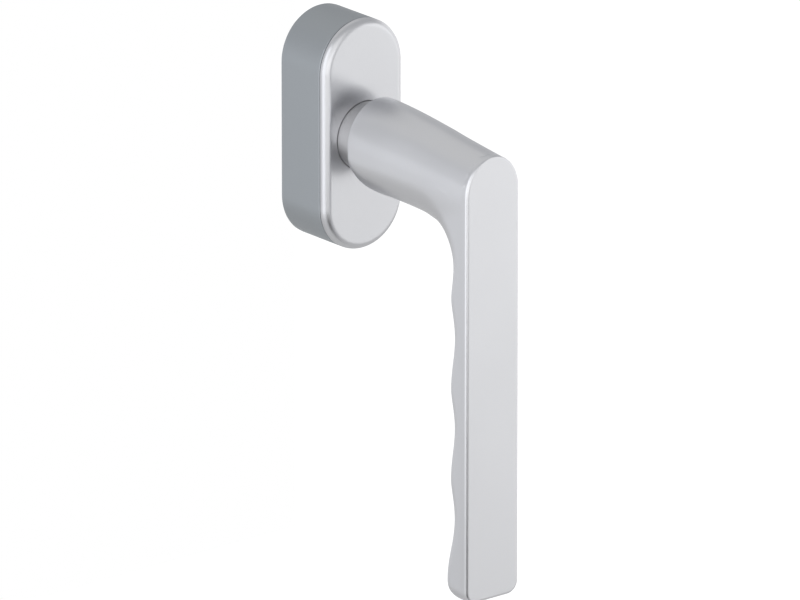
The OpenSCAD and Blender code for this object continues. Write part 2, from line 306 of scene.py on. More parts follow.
class GripShape:
    """The grip as a field: how far a point lies outside its neck, bend or lever."""

    def __init__(self, sizes):
        self.half_w = sizes.face_width / 2
        self.edge_r = sizes.face_edge
        self.arch_top = sizes.arch_top
        self.arch_z = self.arch_top - ARCH_SHARE * self.half_w
        self.corner = sizes.end_corner
        self.back = PROJECTION - sizes.lever_thickness
        self.groove_depth = sizes.groove_depth
        self.pitch = sizes.groove_pitch
        self.first_ridge = sizes.first_ridge
        self.bend_d = self.back - BEND_R
        self.face_d = PROJECTION - self.edge_r
        self.front = self.face_d - SLAB_LAP
        self.body_w = self.half_w - SLAB_PROUD
        self.low = sizes.neck_bottom
        neck_r, top, low = sizes.neck_width / 2, sizes.neck_top, self.low
        # Along the neck: its place, half width, rise and drop, and the height where it is widest.
        self.neck_rows = (
            (NECK_BACK, neck_r, neck_r + 1.3 * MM, neck_r, 0.3 * MM),
            (NECK_BACK + 2.5 * MM, neck_r + 0.1 * MM, neck_r + 1.35 * MM, neck_r + 2.1 * MM,
             0.2 * MM),
            (NECK_BACK + 7 * MM, neck_r, top + 0.25 * MM, low + 0.1 * MM, 0),
            (NECK_BACK + 14 * MM, neck_r - 0.2 * MM, top - 0.25 * MM, low + 0.1 * MM, -0.4 * MM),
            (self.bend_d, self.half_w + 0.7 * MM, top - 1.6 * MM, low + 0.9 * MM, -1.2 * MM),
            (self.bend_d + 6 * MM, self.half_w + 0.45 * MM, top - 2.5 * MM, low + 2.3 * MM,
             -1.4 * MM),
            (self.front, self.body_w, self.arch_top - 0.05 * MM, low + 5 * MM, self.arch_z),
        )

    def groove(self, z):
        """How deep the back of the lever is hollowed at height z."""
        deep = self.groove_depth
        u = (-z - self.first_ridge) / self.pitch
        if u < 0:
            return deep * UPPER_SHARE * math.sin(math.pi / 2 * min(1, -u / UPPER_SPAN)) ** 2
        if u < FLARE_AT:
            v = u - math.floor(u)
            return deep * math.sin(math.pi * v**GROOVE_SKEW) ** 2
        span = (GRIP_DROP - END_ROUND - self.first_ridge) / self.pitch - FLARE_AT
        part = min(1, (u - FLARE_AT) / span)
        return deep - (deep + END_FLARE) * math.sin(math.pi / 2 * part) ** 2

    def neck_depth(self, x, d, z):
        """Roughly how far a point lies outside the neck; negative inside it."""
        d = min(max(d, NECK_BACK), self.front)
        w, top, low, mid = (through_rows(self.neck_rows, d, column) for column in (1, 2, 3, 4))
        if z > mid:
            h, rise = top - mid, z - mid
        else:
            h, rise = LOW_SHARE * low, min(0, z + (1 - LOW_SHARE) * low)
        return (math.hypot(x / w, rise / h) - 1) * min(w, h)

    def bend_low(self, turn):
        """How far the hollow side of the bend lies from its pivot."""
        reach = self.back + self.groove(BEND_Z) - self.bend_d
        rise = -BEND_Z - self.low + BEND_LAP
        return rise * reach / math.hypot(reach * math.cos(turn), rise * math.sin(turn))

    def depth(self, x, d, z):
        """Roughly how far a point lies outside the neck, the bend or the lever."""
        if z <= BEND_Z:
            w = self.body_w - closing(self.corner - z - GRIP_DROP, self.corner)
            back = self.back + self.groove(z) + closing(END_ROUND - z - GRIP_DROP, END_ROUND)
            r = max(min(BACK_R, w - EDGE_ROOM, self.front - back - EDGE_ROOM), LEAST_R)
            return corner_depth(x, w, d - back, r, r)
        neck = self.neck_depth(x, d, z)
        if d <= self.bend_d:
            return neck
        turn = math.atan2(d - self.bend_d, z - BEND_Z)
        part = turn / (math.pi / 2)
        a = self.body_w * (1 - part) + BACK_R * part
        b = self.low * LOW_SHARE * (1 - part) + BACK_R * part
        out = math.hypot(d - self.bend_d, z - BEND_Z) - self.bend_low(turn)
        bend = max(corner_depth(x, self.body_w, out, a, b), z - self.arch_z)
        blend = BLEND * math.sin(turn) * min(1, (self.front - d) / BLEND_RUN) + TINY
        mix = max(blend - abs(neck - bend), 0) / blend
        return min(neck, bend) - mix * mix * blend / 4

    def ring(self, start, up, shrink=0.0):
        """The outline in the plane of X and the direction up, around a start inside it."""

        def outside(x, h):
            d, z = start[0] + h * up[0], start[1] + h * up[1]
            return d > self.front or self.depth(x, d, z) + shrink > 0

        high = edge_of(lambda h: outside(0, h), FAR)
        low = edge_of(lambda h: outside(0, -h), FAR)
        middle, half = (high - low) / 2, (high + low) / 2
        ring = []
        for k in range(GRIP_COUNT):
            turn = 2 * math.pi * k / GRIP_COUNT
            x, h = self.half_w * math.cos(turn), half * math.sin(turn)
            reach = edge_of(lambda s: outside(x * s, middle + h * s), OVERREACH)
            rise = middle + h * reach
            ring.append(Vector((x * reach, -start[0] - rise * up[0], start[1] + rise * up[1])))
        return ring

    def body_rings(self):
        """Outlines from the neck's rear edge round the bend and down to the lever's end."""
        rings = [self.ring((NECK_BACK + along, 0), (0, 1), REAR_ROUND - out)
                 for along, out in quarter_round(REAR_ROUND, REAR_STEPS)]
        rear = NECK_BACK + REAR_ROUND
        for i in range(1, NECK_STEPS + 1):
            rings.append(self.ring((rear + (self.bend_d - rear) * i / NECK_STEPS, 0), (0, 1)))
        for i in range(1, BEND_STEPS + 1):
            turn = math.pi / 2 * i / BEND_STEPS
            up = (math.sin(turn), math.cos(turn))
            inside = self.bend_low(turn) + CORE
            rings.append(self.ring((self.bend_d + inside * up[0], BEND_Z + inside * up[1]), up))
        middle = PROJECTION - CORE
        straight = GRIP_DROP - END_ROUND + BEND_Z
        for i in range(1, LEVER_STEPS + 1):
            rings.append(self.ring((middle, BEND_Z - straight * i / LEVER_STEPS), (1, 0)))
        for _, rise in quarter_round(END_ROUND, END_STEPS)[1:-1]:
            rings.append(self.ring((middle, END_ROUND - GRIP_DROP - rise), (1, 0)))
        return rings

    def face_ring(self, inset, d):
        """The front face's outline, drawn in by inset at its sides and less at its arch."""
        width = self.half_w - inset
        rise = self.arch_top - self.arch_z - inset * TOP_SHARE
        ring = []
        for k in range(ARCH_COUNT):
            turn = math.pi * k / (ARCH_COUNT - 1)
            z = self.arch_z + rise * math.sin(turn)
            ring.append(Vector((width * math.cos(turn), -d, z)))
        r = self.corner - inset
        for side in (-1, 1):
            x, z = side * (self.half_w - self.corner), self.corner - GRIP_DROP
            begin = math.pi if side < 0 else 1.5 * math.pi
            for k in range(CORNER_COUNT):
                turn = begin + math.pi / 2 * k / (CORNER_COUNT - 1)
                ring.append(Vector((x + r * math.cos(turn), -d, z + r * math.sin(turn))))
        return ring

    def front_slab(self):
        """The slab that carries the flat face and the rounded edge around it."""
        rings = [self.face_ring(0, self.face_d - part * SLAB_T) for part in (1, 0.5)]
        rings += [self.face_ring(inset, self.face_d + rise)
                  for inset, rise in quarter_round(self.edge_r, FACE_STEPS)]
        rings.append(self.face_ring(self.edge_r + SLAB_LIP, PROJECTION))
        return loft("front_slab", rings)


def build_grip(sizes, material):
    """Neck, bend and lever as one casting, with the hub's bore in the neck."""
    shape = GripShape(sizes)
    grip = loft("lever", shape.body_rings())
    cut(grip, shape.front_slab(), operation="UNION")
    bore_r = HUB_R + BORE_PLAY
    bore = turned("bore", [(bore_r, NECK_BACK - MM), (bore_r, -HUB_LOW.y)], closed=False)
    cut(grip, bore)
    finished(grip, "handle", "grip", material)


# ---- rosette and cover

SEAM_D = HOUSING_D + 0.25 * MM  # the cover's rim, with a fine gap behind it
CAP_SKIN = 1.2 * MM  # thickness of the cover's front
RIM_W = 0.4 * MM  # thickness of its rim
EDGE_STEPS = 12  # rings around its front edge
TUBE_IN = COLLAR_R + 0.12 * MM  # the cover's tube, in which the collar turns
TUBE_OUT = TUBE_IN + 0.73 * MM
LIP_W = 0.45 * MM  # how far its end snaps out behind the guide
LIP_T = 0.4 * MM
GUIDE_PLAY = 0.05 * MM
FLOOR_T = 4.4 * MM  # thickness of the housing's floor
RECESS_D = 2.4 * MM  # recess in its back, for the snap ring and the thrust washer
RECESS_R = 11.2 * MM
BUSH_R = HUB_R + 1.7 * MM  # the bush's hole in the floor


def build_cover(sizes, material):
    """The cover, as one closed wall: rim, rounded edge, front, tube and hollow back."""
    edge = sizes.cover_edge
    lip = TUBE_OUT + LIP_W
    seat = -GUIDE_LOW.y + GUIDE_PLAY
    inner_front = CAP_FRONT - CAP_SKIN
    rings = [oblong_ring(RIM_W, SEAM_D)]
    rings += [oblong_ring(0.06 * MM, SEAM_D), oblong_ring(0, SEAM_D + 0.08 * MM)]
    rings += [oblong_ring(inset, CAP_FRONT - edge + rise)
              for inset, rise in quarter_round(edge, EDGE_STEPS)]
    rings.append(oblong_ring(edge + 0.3 * MM, CAP_FRONT))
    rings += [circle_ring(TUBE_IN + r * MM, CAP_FRONT - d * MM)
              for r, d in ((0.4, 0), (0.1, 0), (0.03, 0.03), (0, 0.1))]
    rings += [circle_ring(r, d) for r, d in (
        (TUBE_IN, CAP_BACK), (lip, CAP_BACK), (lip, CAP_BACK + LIP_T),
        (TUBE_OUT, CAP_BACK + LIP_T), (TUBE_OUT, seat), (lip, seat), (lip, inner_front))]
    rings.append(oblong_ring(edge + 0.6 * MM, inner_front))
    rings.append(oblong_ring(RIM_W + 0.9 * MM, inner_front - 0.2 * MM))
    rings.append(oblong_ring(RIM_W, SEAM_D + 0.5 * MM))
    finished(loft("cover_plate", rings, closed=True), "cover", "cover_cap", material)


def build_housing(sizes, material):
    """The housing, as one closed wall, with holes for the bush and the lugs in its floor."""
    wall = sizes.housing_wall
    foot = ((0.5, 0), (0.15, 0.03), (0.03, 0.15), (0, 0.5))
    brim = ((0, 0.6), (0, 0.3), (0.09, 0.09), (0.3, 0))
    rings = [circle_ring(RECESS_R + 0.2 * MM, 0)]
    rings += [oblong_ring(inset * MM, d * MM) for inset, d in foot]
    rings += [oblong_ring(inset * MM, HOUSING_D - d * MM) for inset, d in brim]
    rings += [oblong_ring(wall - 0.1 * MM, HOUSING_D), oblong_ring(wall, HOUSING_D - 0.1 * MM)]
    rings.append(oblong_ring(wall, FLOOR_T))
    rings += [circle_ring(r, d) for r, d in (
        (BUSH_R, FLOOR_T), (BUSH_R, RECESS_D), (RECESS_R, RECESS_D), (RECESS_R, 0.2 * MM))]
    housing = loft("rosette_housing", rings, closed=True)
    for side in (-1, 1):
        cut(housing, turned("hole", [(LUG_R, -MM), (LUG_R, FLOOR_T + MM)], side * SCREW_Z,
                            closed=False))
    finished(housing, "rosette", "housing", material)


def build_collar(material):
    """The collar between the cover and the neck, with softened edges."""
    back, front = -COLLAR_HIGH.y, -COLLAR_LOW.y
    r = COLLAR_R
    collar = turned("neck_collar", [
        (HUB_R, back), (r - 0.2 * MM, back), (r, back + 0.2 * MM), (r, front - 0.7 * MM),
        (r, front - 0.35 * MM), (r - 0.1 * MM, front - 0.1 * MM), (r - 0.35 * MM, front),
        (HUB_R, front)], count=2 * TURNED_COUNT)
    finished(collar, "handle", "collar", material)


# ---- screws and drive

SCREW_R = 2.5 * MM  # outside of the fixing screws' thread
SHANK_R = 2.2 * MM  # plain shank in front of it
TIP_CHAMFER = 0.35 * MM
SCREW_COUNT = 32  # points in a ring of a screw
TURN_STEPS = 6  # rings in each turn of the thread
CREST = 1.3  # above 1, the thread's crest is flat
SLOT_SPAN = 0.62  # width of the cross recess, in head widths
SLOT_DEPTH = 1.5 * MM
SLOT_OUTER = (1.1, 0.125)  # length and half thickness of its bars, in its own width
SLOT_INNER = (0.45, 0.09)  # the same at its floor
LUG_BORE = 2.7 * MM
LUG_STEP = 0.4 * MM  # how much slimmer a lug is in the sash than in the housing
GAP_W = 2.4 * MM  # gap in the snap ring
BAR_EDGE = 0.55 * MM  # rounding of the spindle's long edges
BAR_CHAMFER = (0.45 * MM, 0.6 * MM)  # its end's chamfer, across and along


def thread_rings(radius, pitch, depth, d_from, d_to):
    """Rings whose points rise and fall as a thread winds along, fading at both ends."""
    steps = math.ceil((d_to - d_from) / pitch * TURN_STEPS)
    rings = []
    for i in range(steps + 1):
        d = d_from + (d_to - d_from) * i / steps
        fade = min(1, (d - d_from) / pitch, (d_to - d) / pitch)
        ring = []
        for k in range(SCREW_COUNT):
            turn = 2 * math.pi * (k + 0.5) / SCREW_COUNT
            phase = (d / pitch + k / SCREW_COUNT) % 1
            tooth = min(1, CREST * (1 - abs(2 * phase - 1)))
            r = radius - depth * (1 - tooth * fade)
            ring.append(Vector((r * math.cos(turn), -d, r * math.sin(turn))))
        rings.append(ring)
    return rings


def cross_slot(width, depth, d):
    """Two crossed bars that narrow inwards, the shape of a cross recess."""
    bars = []
    for turn in (45, 135):
        bar = cube_in_edit_mode("slot_bar")
        mesh = edited(bar)
        for vert in mesh.verts:
            inner = vert.co.y > 0
            length, thickness = SLOT_INNER if inner else SLOT_OUTER
            vert.co = (math.copysign(width / 2 * length, vert.co.x),
                       -d + (depth if inner else -MM),
                       math.copysign(width * thickness, vert.co.z))
        bpy.ops.mesh.select_all(action="SELECT")
        bpy.ops.transform.rotate(value=math.radians(turn), orient_axis="Y",
                                 center_override=(0, 0, 0))
        bpy.ops.object.mode_set(mode="OBJECT")
        bars.append(bar)
    return bars


def moved_copy(piece, name, dz):
    """A copy with its own mesh, raised by dz."""
    copy = piece.copy()
    copy.data = piece.data.copy()
    copy.name = copy.data.name = name
    bpy.context.scene.collection.objects.link(copy)
    select_only(copy)
    bpy.ops.object.mode_set(mode="EDIT")
    bpy.ops.mesh.select_all(action="SELECT")
    bpy.ops.transform.translate(value=(0, 0, dz))
    bpy.ops.object.mode_set(mode="OBJECT")
    return copy


def head_profile(r, shank, back, front):
    """The turned outline of a pan head, from its shank to its flat top."""
    tall = front - back
    return [(shank, back), (r - 0.1 * MM, back), (r, back + 0.1 * MM), (r, front - 0.4 * tall),
            (r * 0.95, front - 0.22 * tall), (r * 0.8, front - 0.08 * tall),
            (r * 0.6, front - 0.01 * MM), (r * 0.4, front)]


def set_in_pairs(piece, name, node, material):
    """Puts a copy of a piece at each fixing screw's place, and removes the piece."""
    for end, dz in (("upper", SCREW_Z), ("lower", -SCREW_Z)):
        copy = moved_copy(piece, name.format(end), dz)
        finished(copy, "rosette", f"{node}_{end}", material)
    bpy.data.objects.remove(piece)


def build_fixing_screws(sizes, material):
    """The fixing screws: chamfered tip, thread, shank, and pan head with a cross recess."""
    head_back, head_front, tip = -PLATE_LOW.y, -SCREW_LOW.y, -SCREW_HIGH.y
    lug_end = -LUG_HIGH.y
    r = (SCREW_HIGH.x - SCREW_LOW.x) / 2
    depth = sizes.thread_depth
    rings = [circle_ring(SCREW_R - depth - TIP_CHAMFER, tip, count=SCREW_COUNT)]
    rings += thread_rings(SCREW_R, sizes.thread_pitch, depth, tip + TIP_CHAMFER, lug_end)
    outline = [(SHANK_R, lug_end + 0.3 * MM), *head_profile(r, SHANK_R, head_back, head_front)]
    rings += [circle_ring(radius, d, count=SCREW_COUNT) for radius, d in outline]
    screw = loft("screw", rings)
    cut(screw, *cross_slot(2 * r * SLOT_SPAN, SLOT_DEPTH, head_front))
    set_in_pairs(screw, "m5_screw_{}", "fixing_screw", material)


def build_lugs(material):
    """The lugs, which go through the housing's floor and end in the sash."""
    back, front = -LUG_HIGH.y, -LUG_LOW.y
    r = LUG_R - LUG_STEP
    lug = turned("lug", [
        (LUG_BORE + 0.3 * MM, back), (r - 0.5 * MM, back), (r - 0.15 * MM, back + 0.15 * MM),
        (r, back + 0.5 * MM), (r, 0), (LUG_R, 0), (LUG_R, front), (LUG_BORE, front),
        (LUG_BORE, back + 0.3 * MM)])
    set_in_pairs(lug, "support_lug_{}_turned", "support_lug", material)


def build_washer(material):
    """The thrust washer between the snap ring and the housing's floor."""
    back, front = -THRUST_HIGH.y, -THRUST_LOW.y
    r = THRUST_HIGH.x
    washer = turned("thrust_washer_turned", [
        (HUB_R, back), (r - 0.1 * MM, back), (r, back + 0.1 * MM), (r, front), (HUB_R, front)])
    finished(washer, "handle", "thrust_washer", material)


def build_clip(material):
    """The snap ring on the hub's end, with its gap at the bottom."""
    back, front = -RING_HIGH.y, -RING_LOW.y
    outer, inner = RING_HIGH.x, HUB_R - 0.6 * MM
    chamfer = 0.12 * MM
    clip = turned("snap_ring", [
        (inner, back), (outer - chamfer, back), (outer, back + chamfer), (outer, front - chamfer),
        (outer - chamfer, front), (inner, front)])
    gap = cube_in_edit_mode("gap")
    bpy.ops.transform.resize(value=(GAP_W, 4 * MM, 2 * HUB_R), center_override=(0, 0, 0))
    bpy.ops.transform.translate(value=(0, -back, -HUB_R))
    bpy.ops.object.mode_set(mode="OBJECT")
    cut(clip, gap)
    finished(clip, "handle", "retaining_ring", material)


def build_spindle(material):
    """The square spindle, with rounded long edges and a chamfered end in the gear."""
    half = SPINDLE_HIGH.x
    end, front = SPINDLE_HIGH.y, SPINDLE_LOW.y
    inset, shift = BAR_CHAMFER

    def at_end(vert):
        return abs(vert.co.y - end) < SAME_PLACE

    bar = cube_in_edit_mode("square_bar")
    mesh = edited(bar)
    for vert in mesh.verts:
        vert.co = (math.copysign(half, vert.co.x), end if vert.co.y > 0 else front,
                   math.copysign(half, vert.co.z))
    bmesh.update_edit_mesh(bar.data)
    bpy.ops.mesh.select_all(action="DESELECT")
    mesh = edited(bar)
    for edge in mesh.edges:
        one, two = edge.verts
        edge.select = abs(one.co.y - two.co.y) > half
    bpy.ops.mesh.bevel(offset=BAR_EDGE, segments=4, affect="EDGES")
    bpy.ops.mesh.select_all(action="DESELECT")
    mesh = edited(bar)
    for face in mesh.faces:
        face.select = all(at_end(vert) for vert in face.verts)
    bpy.ops.mesh.inset(thickness=inset, depth=0)
    mesh = edited(bar)
    for vert in mesh.verts:
        if at_end(vert) and not vert.select:
            vert.co.y -= shift
    bmesh.update_edit_mesh(bar.data)
    bpy.ops.mesh.select_all(action="SELECT")
    bpy.ops.mesh.normals_make_consistent(inside=False)
    bpy.ops.object.mode_set(mode="OBJECT")
    finished(bar, "handle", "spindle", material)


# ---- finishes

CLOUD_SCALE = 60  # faint clouds, in waves to a metre
SPECK_ROUGH = 0.12  # how much the grain changes the roughness
CLOUD_ROUGH = 0.08  # how much the clouds change it
RELIEF = 0.02 * MM  # height of the grain


def math_node(tree, operation, *values):
    """The result of a Math node whose inputs are numbers or other nodes' outputs."""
    node = tree.nodes.new("ShaderNodeMath")
    node.operation = operation
    for index, value in enumerate(values):
        if isinstance(value, (int, float)):
            node.inputs[index].default_value = value
        else:
            tree.links.new(value, node.inputs[index])
    return node.outputs[0]


def fine_grain_group():
    """Fine etched grain with broad, faint clouds: colour, roughness and height."""
    group = bpy.data.node_groups.new("fine_grain", "ShaderNodeTree")
    for label, kind, value in (
        ("Colour", "Color", (0.7, 0.7, 0.7, 1)), ("Roughness", "Float", 0.35),
        ("Grain", "Float", 4000.0), ("Clouds", "Float", 0.02),
    ):
        kind = "NodeSocket" + kind
        socket = group.interface.new_socket(label, in_out="INPUT", socket_type=kind)
        socket.default_value = value
    for label, kind in (("Colour", "Color"), ("Roughness", "Float"), ("Height", "Float")):
        group.interface.new_socket(label, in_out="OUTPUT", socket_type="NodeSocket" + kind)
    nodes, links = group.nodes, group.links
    start, end = nodes.new("NodeGroupInput"), nodes.new("NodeGroupOutput")
    place = nodes.new("ShaderNodeTexCoord")
    grain = nodes.new("ShaderNodeTexNoise")
    grain.inputs["Detail"].default_value = 2
    links.new(place.outputs["Object"], grain.inputs["Vector"])
    links.new(start.outputs["Grain"], grain.inputs["Scale"])
    cloud = nodes.new("ShaderNodeTexNoise")
    cloud.inputs["Scale"].default_value = CLOUD_SCALE
    cloud.inputs["Detail"].default_value = 3
    links.new(place.outputs["Object"], cloud.inputs["Vector"])
    offset = math_node(group, "SUBTRACT", cloud.outputs["Fac"], 0.5)
    shade = math_node(group, "MULTIPLY_ADD", offset, start.outputs["Clouds"], 1.0)
    colour = nodes.new("ShaderNodeVectorMath")
    colour.operation = "SCALE"
    links.new(start.outputs["Colour"], colour.inputs[0])
    links.new(shade, colour.inputs["Scale"])
    links.new(colour.outputs["Vector"], end.inputs["Colour"])
    speck = math_node(group, "SUBTRACT", grain.outputs["Fac"], 0.5)
    rough = math_node(group, "MULTIPLY_ADD", speck, SPECK_ROUGH, start.outputs["Roughness"])
    rough = math_node(group, "MULTIPLY_ADD", offset, CLOUD_ROUGH, rough)
    links.new(rough, end.inputs["Roughness"])
    links.new(grain.outputs["Fac"], end.inputs["Height"])
    return group


def grained(name, colour, roughness, grain=4000.0, clouds=0.04, bump=0.02, metallic=1.0):
    """A material with fine grain: a metal, or a plastic where metallic is 0."""
    material = bpy.data.materials.new(name)
    material.use_nodes = True
    tree = material.node_tree
    shader = tree.nodes["Principled BSDF"]
    shader.inputs["Metallic"].default_value = metallic
    group = tree.nodes.new("ShaderNodeGroup")
    group.node_tree = bpy.data.node_groups.get("fine_grain") or fine_grain_group()
    group.inputs["Colour"].default_value = (*colour, 1)
    group.inputs["Roughness"].default_value = roughness
    group.inputs["Grain"].default_value = grain
    group.inputs["Clouds"].default_value = clouds
    tree.links.new(group.outputs["Colour"], shader.inputs["Base Color"])
    tree.links.new(group.outputs["Roughness"], shader.inputs["Roughness"])
    relief = tree.nodes.new("ShaderNodeBump")
    relief.inputs["Strength"].default_value = bump
    relief.inputs["Distance"].default_value = RELIEF
    tree.links.new(group.outputs["Height"], relief.inputs["Height"])
    tree.links.new(relief.outputs["Normal"], shader.inputs["Normal"])
    return material


def finish_of(kind):
    """The material of that kind, made once."""
    colours = bpy.context.scene.handle_finishes
    satin = colours.satin
    steel = {"grain": 2500.0, "bump": 0.015}
    makers = {
        "satin_anodised": lambda: grained(kind, colours.anodised, satin),
        # the cover's colour is the grip's anodised set a little darker: painted shade
        "cover_anodised_painted_shade": lambda: grained(kind, colours.cover, satin),
        "matt_anodised": lambda: grained(kind, colours.housing, 0.46, bump=0.05),
        # the collar's colour is the grip's anodised set darker: painted shade
        "collar_anodised_painted_shade": lambda: grained(kind, colours.collar, 0.4),
        "zinc_plated": lambda: grained(kind, colours.zinc, 0.34, clouds=0.12, **steel),
        "turned_steel": lambda: grained(kind, colours.zinc, 0.28, clouds=0.1, **steel),
        "dark_steel": lambda: grained(
            kind, colours.dark_steel, 0.42, grain=900.0, clouds=0.3, bump=0.1),
        "spring_steel": lambda: grained(
            kind, colours.dark_steel, 0.25, grain=2500.0, clouds=0.2, bump=0.05),
        "moulded_plastic": lambda: grained(
            kind, colours.plastic, 0.45, grain=1500.0, clouds=0.05, bump=0.1, metallic=0.0),
    }
    return bpy.data.materials.get(kind) or makers[kind]()


CAD_FINISHES = {
    "zinc_plated": ("base_plate",),
    "turned_steel": ("plate_screw_upper", "plate_screw_lower", "spring_posts", "drive_hub"),
    "spring_steel": ("detent_spring_upper", "detent_spring_lower", "wave_washer"),
    "dark_steel": ("detent_cam", "spindle_pin"),
    "moulded_plastic": ("bearing_bush", "cover_guide"),
}


# ---- what a user sets


class HandleSizes(PropertyGroup):
    face_width: FloatProperty(
        name="Face width", description="Width of the grip's flat front face with its edges",
        unit="LENGTH", precision=4, min=0.014, max=0.022, default=0.0198)
    face_edge: FloatProperty(
        name="Face edge", description="Radius of the edge around the front face",
        unit="LENGTH", precision=5, min=0.0004, max=0.002, default=0.00095)
    arch_top: FloatProperty(
        name="Arch top", description="Height of the front face above the turning axis",
        unit="LENGTH", precision=4, min=0.005, max=0.011, default=0.0081)
    end_corner: FloatProperty(
        name="End corner", description="Radius of the two corners at the lever's end",
        unit="LENGTH", precision=4, min=0.002, max=0.006, default=0.0038)
    lever_thickness: FloatProperty(
        name="Lever thickness", description="Thickness of the lever at the ridges of its back",
        unit="LENGTH", precision=4, min=0.007, max=0.013, default=0.0095)
    groove_depth: FloatProperty(
        name="Groove depth", description="Depth of the finger grooves",
        unit="LENGTH", precision=5, min=0, max=0.003, default=0.0017)
    groove_pitch: FloatProperty(
        name="Groove pitch", description="Distance from one finger groove to the next",
        unit="LENGTH", precision=4, min=0.02, max=0.034, default=0.0276)
    first_ridge: FloatProperty(
        name="First ridge", description="Drop from the turning axis to the first ridge",
        unit="LENGTH", precision=4, min=0.031, max=0.045, default=0.0353)
    neck_width: FloatProperty(
        name="Neck width", description="Width of the neck where it meets the collar",
        unit="LENGTH", precision=4, min=0.021, max=0.026, default=0.0234)
    neck_top: FloatProperty(
        name="Neck top", description="Height of the neck above the turning axis",
        unit="LENGTH", precision=4, min=0.011, max=0.014, default=0.0126)
    neck_bottom: FloatProperty(
        name="Neck bottom", description="Depth of the neck below the turning axis",
        unit="LENGTH", precision=4, min=0.012, max=0.016, default=0.0144)
    cover_edge: FloatProperty(
        name="Cover edge", description="Radius of the cover's front edge",
        unit="LENGTH", precision=4, min=0.0005, max=0.003, default=0.0022)
    housing_wall: FloatProperty(
        name="Housing wall", description="Thickness of the housing's side wall",
        unit="LENGTH", precision=4, min=0.0015, max=0.003, default=0.0022)
    thread_pitch: FloatProperty(
        name="Thread pitch", description="Pitch of the fixing screws' thread",
        unit="LENGTH", precision=5, min=0.0005, max=0.0015, default=0.0008)
    thread_depth: FloatProperty(
        name="Thread depth", description="Depth of the fixing screws' thread",
        unit="LENGTH", precision=5, min=0.0002, max=0.0006, default=0.00042)


class HandleFinishes(PropertyGroup):
    anodised: FloatVectorProperty(
        name="Anodised", description="Colour of the satin anodised grip",
        subtype="COLOR", min=0, max=1, default=(0.685, 0.69, 0.71))
    # The cover is the grip's satin anodised metal; its colour is set a little darker than the
    # grip's as painted shade.
    cover: FloatVectorProperty(
        name="Cover", description="Colour of the satin anodised cover",
        subtype="COLOR", min=0, max=1, default=(0.635, 0.64, 0.66))
    # The collar is the grip's satin anodised metal; its colour is set darker as painted shade for
    # where it sits between the neck and the cover.
    collar: FloatVectorProperty(
        name="Collar", description="Colour of the collar behind the neck",
        subtype="COLOR", min=0, max=1, default=(0.56, 0.56, 0.57))
    housing: FloatVectorProperty(
        name="Housing", description="Colour of the matt housing",
        subtype="COLOR", min=0, max=1, default=(0.4, 0.425, 0.446))
    zinc: FloatVectorProperty(
        name="Zinc", description="Colour of the zinc-plated steel",
        subtype="COLOR", min=0, max=1, default=(0.60, 0.60, 0.60))
    dark_steel: FloatVectorProperty(
        name="Dark steel", description="Colour of the phosphated and hardened steel",
        subtype="COLOR", min=0, max=1, default=(0.16, 0.16, 0.17))
    plastic: FloatVectorProperty(
        name="Plastic", description="Colour of the moulded bush and cover guide",
        subtype="COLOR", min=0, max=1, default=(0.80, 0.79, 0.75))
    satin: FloatProperty(
        name="Satin", description="Roughness of the anodised surface",
        subtype="FACTOR", min=0.1, max=0.8, default=0.34)


class HandleStage(PropertyGroup):
    lens: FloatProperty(
        name="Lens", description="Focal length of the camera, in millimetres",
        unit="CAMERA", min=50, max=1000, default=600)
    scale: FloatProperty(
        name="Scale", description="How many times the view's width a metre is at the handle",
        min=0.5, max=20, default=4.3125)
    tent: FloatProperty(
        name="Tent", description="Level of the light from all round",
        min=0, max=2, default=0.58)


# ---- stage

WHITE = (1, 1, 1)
COOL = (0.965, 0.975, 1.0)
TENT_COLOUR = (0.97, 0.98, 1.0)
TENT_R = 9
AZIMUTH, ELEVATION = -39.5, 18.8  # of the camera, in degrees
AIM = (23.2 * MM, -53 * MM, 25 * MM)  # where it looks: right of the origin, up and nearer
SENSOR_W = 36
FLOOR_Z = -0.6
FLOOR_W = 12

# Name, azimuth, distance, width, lower and upper end, strength and colour.
SOFT_LIGHTS = (
    ("panel_left", -85, 0.5, 0.44, -0.27, 0.5, 1.6, COOL),
    ("panel_front", -27, 0.5, 0.62, -0.19, 0.14, 1.5, WHITE),
    ("panel_front_high", -27, 0.5, 0.62, 0.14, 0.6, 1.1, WHITE),
    ("panel_side", 98, 1.3, 1.05, FLOOR_Z, 0.5, 1.15, WHITE),
    ("panel_right", 50, 1.3, 0.9, FLOOR_Z, 0.5, 1.38, WHITE),
    ("panel_back", -150, 1.3, 3.0, FLOOR_Z, 0.15, 0.87, COOL),
    ("panel_back_high", -150, 1.3, 3.0, 0.15, 1.1, 0.68, COOL),
)


def empty_material(name):
    """A new material with no nodes, and its node tree."""
    material = bpy.data.materials.new(name)
    material.use_nodes = True
    material.node_tree.nodes.clear()
    return material, material.node_tree


def emitter(name, strength, colour=WHITE):
    """A material that only gives light."""
    material, tree = empty_material(name)
    light = tree.nodes.new("ShaderNodeEmission")
    light.inputs["Color"].default_value = (*colour, 1)
    light.inputs["Strength"].default_value = strength
    out = tree.nodes.new("ShaderNodeOutputMaterial")
    tree.links.new(light.outputs[0], out.inputs["Surface"])
    return material


